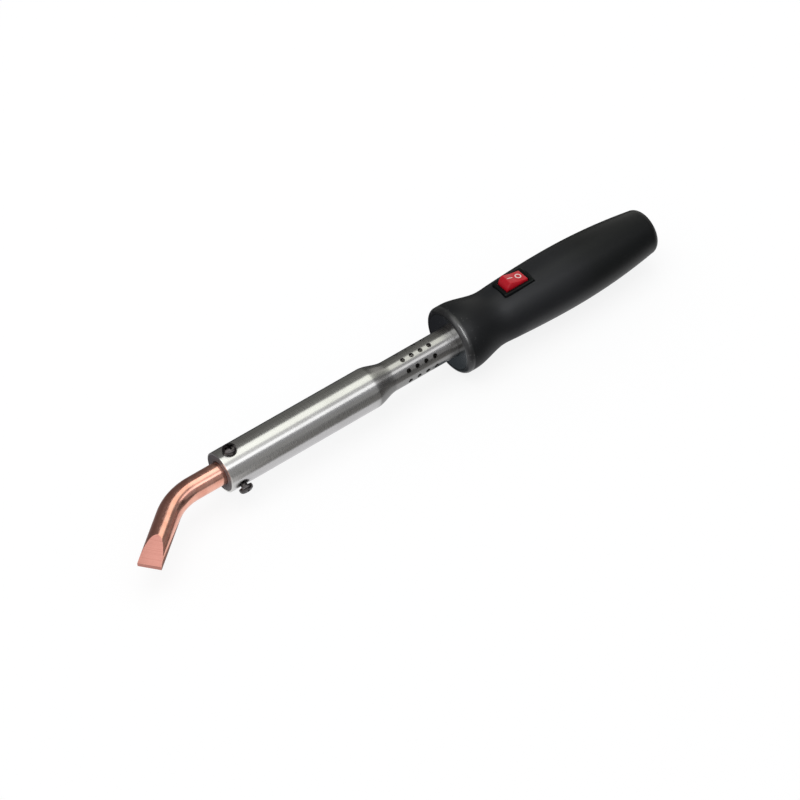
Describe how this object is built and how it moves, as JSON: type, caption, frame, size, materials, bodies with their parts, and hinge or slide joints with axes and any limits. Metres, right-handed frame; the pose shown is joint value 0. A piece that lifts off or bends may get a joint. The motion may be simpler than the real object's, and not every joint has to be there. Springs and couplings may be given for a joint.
{
  "type": "soldering iron",
  "caption": "Heavy mains soldering iron with a bent copper chisel bit clamped in a steel barrel, a vented neck and a waisted black handle with a rocker switch.",
  "frame": {"origin": "centre of the cord inlet's mouth, in the rear end face of the handle", "axes": "+X along the tool, out of the cord inlet; the bit points to -X and bends to -Y; +Z is the switch side"},
  "size_m": [0.2735, 0.0416, 0.0319],
  "materials": {
    "copper": "polished drawn copper with ground flats",
    "black_oxide": "black oxide on steel",
    "dark_steel": "turned steel, heat darkened",
    "stainless": "bright turned stainless steel",
    "former_steel": "rolled steel sheet, heat tinted",
    "mica": "mica paper",
    "resistance_wire": "oxidised resistance wire",
    "ceramic": "unglazed ceramic",
    "nickel": "nickel plated",
    "zinc_steel": "zinc plated",
    "handle_black": "matte moulded plastic",
    "shield_steel": "smooth turned steel, darkened",
    "switch_black": "glossy moulded plastic",
    "rocker_red": "glossy moulded plastic with white marks",
    "ivory_nylon": "moulded nylon",
    "spring_steel": "bright spring wire",
    "brass": "stamped brass",
    "insulation_brown": "heat-resistant insulation",
    "insulation_blue": "heat-resistant insulation",
    "insulation_green": "heat-resistant insulation",
    "bush_rubber": "moulded rubber"
  },
  "bodies": {
    "iron": {"nose_collar": "dark_steel", "barrel": "stainless", "heater_former": "former_steel", "inner_mica": "mica", "heater_winding": "resistance_wire", "outer_mica": "mica", "heater_sleeve": "ceramic", "heater_end_disc": "ceramic", "heater_lead_live": "nickel", "heater_lead_neutral": "nickel", "lead_beads": "ceramic", "lead_crimps": "nickel", "neck_flange": "zinc_steel", "flange_screws": "zinc_steel", "front_collar": "shield_steel", "handle_shell": "handle_black", "earth_receptacle": "brass", "switch_housing": "switch_black", "switch_terminal_common": "brass", "switch_terminal_load": "brass", "switch_receptacles": "brass", "terminal_block": "ivory_nylon", "terminal_inserts": "brass", "terminal_screws": "zinc_steel", "wire_live": "insulation_brown", "wire_load": "insulation_brown", "wire_neutral": "insulation_blue", "wire_earth": "insulation_green", "cord_bush": "bush_rubber"},
    "bit": {"copper_bit": "copper"},
    "screw_top": {"bit_screw_top": "black_oxide"},
    "screw_left": {"bit_screw_left": "black_oxide"},
    "screw_right": {"bit_screw_right": "black_oxide"},
    "rocker": {"switch_rocker": "rocker_red", "rocker_plunger": "ivory_nylon", "rocker_spring": "spring_steel"},
    "contact": {"contact_lever": "brass"}
  },
  "joints": [
    {"name": "rocker_tilt", "type": "hinge", "parent": "iron", "child": "rocker", "pos_m": [-0.0711, 0, 0.0122], "axis": [0, -1, 0], "range_deg": [0, 32]},
    {"name": "contact_tilt", "type": "hinge", "parent": "iron", "child": "contact", "pos_m": [-0.0711, 0, 0.0041], "axis": [0, 1, 0], "range_deg": [0, 14]},
    {"name": "bit_slide", "type": "slide", "parent": "iron", "child": "bit", "axis": [-1, 0, 0], "range_m": [0, 0.062]},
    {"name": "bit_screw_top_slide", "type": "slide", "parent": "iron", "child": "screw_top", "axis": [0, 0, 1], "range_m": [0, 0.004]},
    {"name": "bit_screw_left_slide", "type": "slide", "parent": "iron", "child": "screw_left", "axis": [0, -0.866, -0.5], "range_m": [0, 0.004]},
    {"name": "bit_screw_right_slide", "type": "slide", "parent": "iron", "child": "screw_right", "axis": [0, 0.866, -0.5], "range_m": [0, 0.004]}
  ],
  "couplings": [
    {"joint": "contact_tilt", "follows": "rocker_tilt", "ratio": 0.4375}
  ]
}
